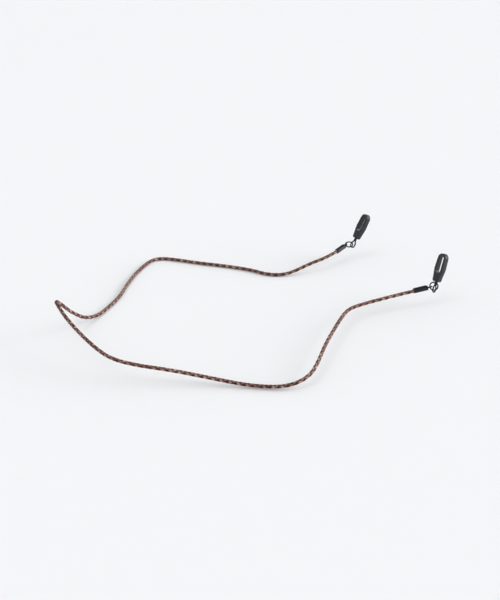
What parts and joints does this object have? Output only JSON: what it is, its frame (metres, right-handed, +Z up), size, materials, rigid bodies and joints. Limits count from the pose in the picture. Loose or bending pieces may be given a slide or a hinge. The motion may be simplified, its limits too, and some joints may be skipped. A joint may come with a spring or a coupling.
{
  "type": "eyeglasses strap",
  "caption": "Braided cord strap for eyeglasses; crimped ends carry jump rings and wire eyes that swivel in slotted rubber loops gripping the temple arms.",
  "frame": {"origin": "seat of the temple arm at the lower round end of the left rubber loop's slot", "axes": "+X along the temple arms towards their tips, +Y from the left loop to the right loop, +Z up; the cord lies forward of the loops, on the -X side"},
  "size_m": [0.2514, 0.2229, 0.0362],
  "materials": {
    "braided_leather": "round braid of flat strands, light pinkish brown with dark gaps",
    "black_metal": "satin black plating",
    "black_rubber": "matte black moulded rubber"
  },
  "bodies": {
    "cord": {"braided_cord": "braided_leather", "left_cord_crimp": "black_metal", "right_cord_crimp": "black_metal"},
    "left_ring": {"left_jump_ring": "black_metal"},
    "left_eye": {"left_loop_eye": "black_metal"},
    "left_loop": {"left_temple_loop": "black_rubber"},
    "right_ring": {"right_jump_ring": "black_metal"},
    "right_eye": {"right_loop_eye": "black_metal"},
    "right_loop": {"right_temple_loop": "black_rubber"}
  },
  "joints": [
    {"name": "left_ring_swing", "type": "hinge", "parent": "cord", "child": "left_ring", "pos_m": [-0.0066, 0.00121, -0.0113], "axis": [0.0665, 0.5845, 0.8086], "range_deg": [-75, 90]},
    {"name": "left_eye_swing", "type": "hinge", "parent": "left_ring", "child": "left_eye", "pos_m": [-0.00487, -0.00109, -0.01308], "axis": [0.8717, -0.4896, -0.0212], "range_deg": [-1, 300]},
    {"name": "left_loop_swivel", "type": "hinge", "parent": "left_eye", "child": "left_loop", "pos_m": [-0.00487, -0.00109, -0.01308], "axis": [0.348, 0.0784, 0.9342], "continuous": true},
    {"name": "right_ring_swing", "type": "hinge", "parent": "cord", "child": "right_ring", "pos_m": [-0.01216, 0.09799, -0.01393], "axis": [0.1313, 0.9352, 0.3289], "range_deg": [-90, 90]},
    {"name": "right_eye_swing", "type": "hinge", "parent": "right_ring", "child": "right_eye", "pos_m": [-0.00781, 0.09537, -0.01413], "axis": [0.7864, 0.5406, 0.299], "range_deg": [-60, 215]},
    {"name": "right_loop_swivel", "type": "hinge", "parent": "right_eye", "child": "right_loop", "pos_m": [-0.00781, 0.09537, -0.01413], "axis": [0.4219, -0.113, 0.8996], "continuous": true}
  ]
}
